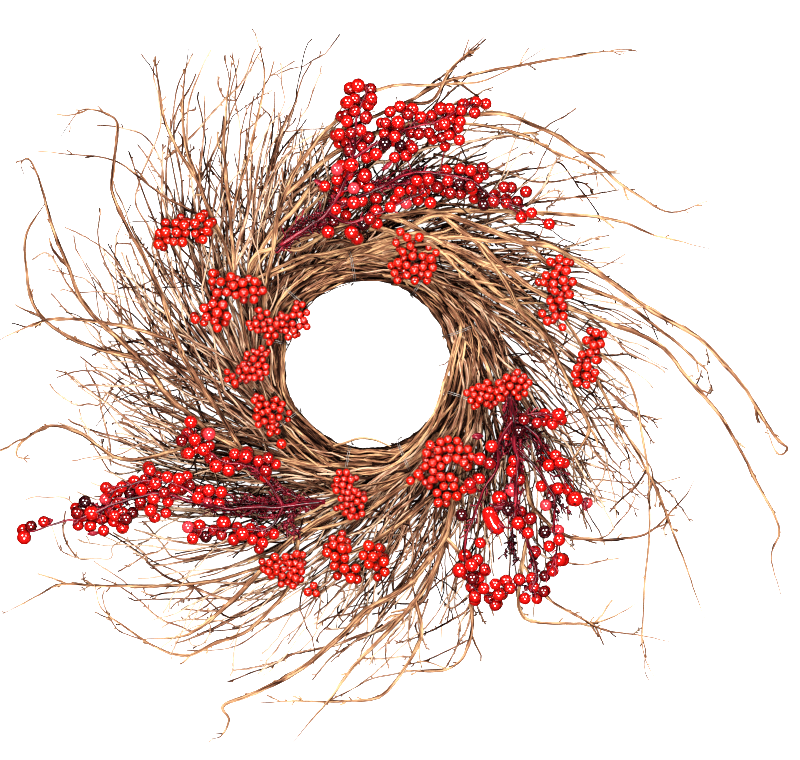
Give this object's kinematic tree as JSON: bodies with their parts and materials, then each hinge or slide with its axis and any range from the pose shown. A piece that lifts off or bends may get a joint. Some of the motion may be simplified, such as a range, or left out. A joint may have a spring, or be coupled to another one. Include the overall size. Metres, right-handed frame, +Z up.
{
  "type": "berry wreath",
  "caption": "Round twig wreath with clockwise-swept vines and twigs round an open middle, carrying glossy red berry sprays and small berry clusters.",
  "frame": {"origin": "centre of the bounding box, on the surface the wreath lies on", "axes": "+Z up out of the face that carries the berries, +Y towards the top of the wreath as it hangs, +X to its right"},
  "size_m": [0.7086, 0.634, 0.0712],
  "materials": {
    "steel_wire": "galvanised wire, dull",
    "binding_wire": "thin annealed wire, dark grey",
    "vine_bark": "dry golden tan vine with peeling, striped bark",
    "twig_bark": "dry brown bark, matt",
    "spray": "glossy red berries on burgundy stems",
    "berry": "glossy saturated red"
  },
  "bodies": {
    "root": {"berry_cluster_01": "berry", "berry_cluster_02": "berry", "berry_cluster_03": "berry", "berry_cluster_04": "berry", "berry_cluster_05": "berry", "berry_cluster_06": "berry", "berry_cluster_07": "berry", "berry_cluster_08": "berry", "berry_cluster_09": "berry", "berry_cluster_10": "berry", "berry_cluster_11": "berry", "berry_cluster_12": "berry", "berry_cluster_13": "berry", "berry_cluster_14": "berry", "berry_cluster_15": "berry", "berry_cluster_16": "berry", "berry_single": "berry", "berry_spray_lower_left": "spray", "berry_spray_lower_right": "spray", "berry_spray_top": "spray", "inner_vine_rope": "vine_bark", "long_vines_bottom": "vine_bark", "long_vines_left": "vine_bark", "long_vines_lower_left": "vine_bark", "long_vines_lower_right": "vine_bark", "long_vines_right": "vine_bark", "long_vines_top": "vine_bark", "long_vines_upper_left": "vine_bark", "outer_vine_rope": "vine_bark", "tie_wire_1": "binding_wire", "tie_wire_2": "binding_wire", "tie_wire_3": "binding_wire", "tie_wire_4": "binding_wire", "tie_wire_5": "binding_wire", "tie_wire_6": "binding_wire", "tie_wire_7": "binding_wire", "tie_wire_8": "binding_wire", "tie_wire_9": "binding_wire", "twig_bunch_1": "twig_bark", "twig_bunch_10": "twig_bark", "twig_bunch_11": "twig_bark", "twig_bunch_12": "twig_bark", "twig_bunch_2": "twig_bark", "twig_bunch_3": "twig_bark", "twig_bunch_4": "twig_bark", "twig_bunch_5": "twig_bark", "twig_bunch_6": "twig_bark", "twig_bunch_7": "twig_bark", "twig_bunch_8": "twig_bark", "twig_bunch_9": "twig_bark", "wire_ring": "steel_wire"}
  },
  "joints": []
}
